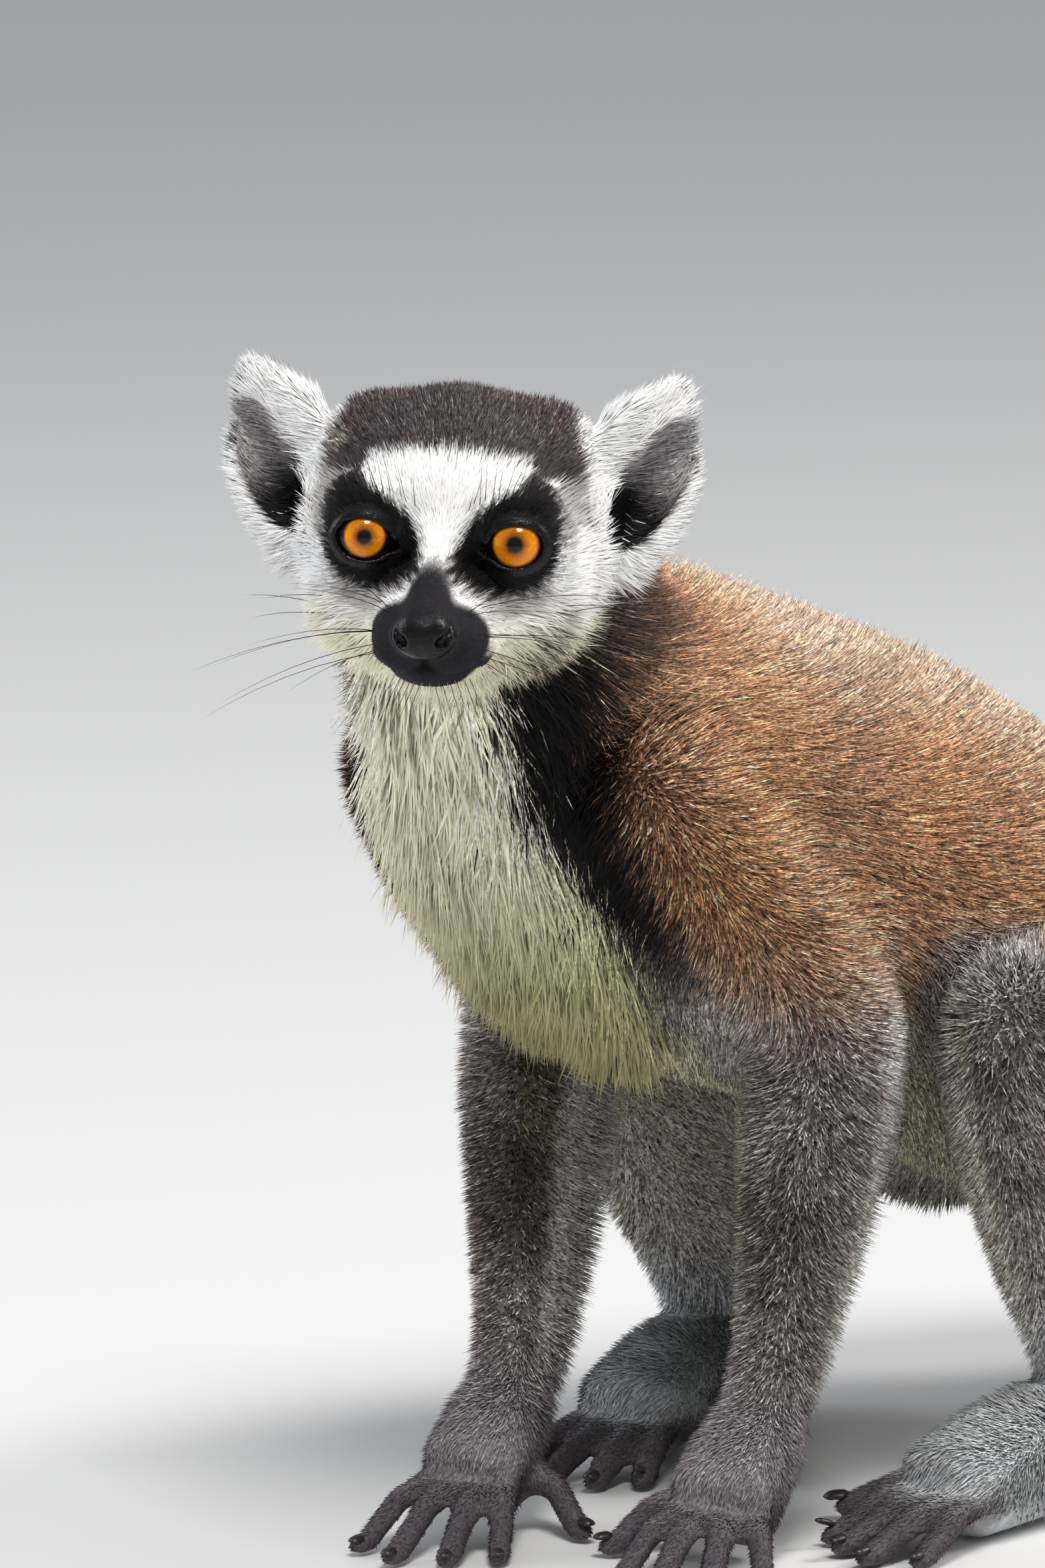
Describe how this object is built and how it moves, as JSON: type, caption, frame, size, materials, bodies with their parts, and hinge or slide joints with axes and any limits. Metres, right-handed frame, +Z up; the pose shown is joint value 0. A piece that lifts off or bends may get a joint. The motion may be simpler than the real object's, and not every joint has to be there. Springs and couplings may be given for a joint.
{
  "type": "ring-tailed lemur model",
  "caption": "Life-size crouching lemur with a furry coat, straight forelegs, head turned to one side, dark eye patches, tufted ears and a long banded tail laid on the floor in a bend.",
  "frame": {"origin": "middle of the footprint's bounding box, on the floor", "axes": "+Z up; the animal faces -Y, its left side is +X, and its head is turned towards +X"},
  "size_m": [0.2864, 0.513, 0.2782],
  "materials": {
    "coat": "thick soft coat: grey-brown back, grey limbs, cream chest, white face and ears with dark patches, black and white tail bands",
    "short_coat": "short flat grey fur with dark nails and leathery pads",
    "bare_skin": "black skin, fine grained, damp sheen on the nose",
    "eye": "glossy amber iris with a dark rim and a small round pupil"
  },
  "bodies": {
    "root": {"head": "coat", "muzzle": "bare_skin", "lower_jaw": "coat", "nose": "bare_skin", "eye_left": "eye", "eye_right": "eye", "ear_left": "coat", "ear_right": "coat", "neck": "coat", "chest": "coat", "loin": "coat", "rump": "coat", "upper_arm_left": "coat", "forearm_left": "coat", "hand_left": "short_coat", "thumb_left": "short_coat", "finger_2_left": "short_coat", "finger_3_left": "short_coat", "finger_4_left": "short_coat", "finger_5_left": "short_coat", "upper_arm_right": "coat", "forearm_right": "coat", "hand_right": "short_coat", "thumb_right": "short_coat", "finger_2_right": "short_coat", "finger_3_right": "short_coat", "finger_4_right": "short_coat", "finger_5_right": "short_coat", "thigh_left": "coat", "shank_left": "coat", "foot_left": "short_coat", "big_toe_left": "short_coat", "toe_2_left": "short_coat", "toe_3_left": "short_coat", "toe_4_left": "short_coat", "toe_5_left": "short_coat", "thigh_right": "coat", "shank_right": "coat", "foot_right": "short_coat", "big_toe_right": "short_coat", "toe_2_right": "short_coat", "toe_3_right": "short_coat", "toe_4_right": "short_coat", "toe_5_right": "short_coat", "tail_1": "coat", "tail_2": "coat", "tail_3": "coat", "tail_4": "coat", "tail_5": "coat", "tail_6": "coat", "tail_7": "coat", "tail_8": "coat"}
  },
  "joints": []
}
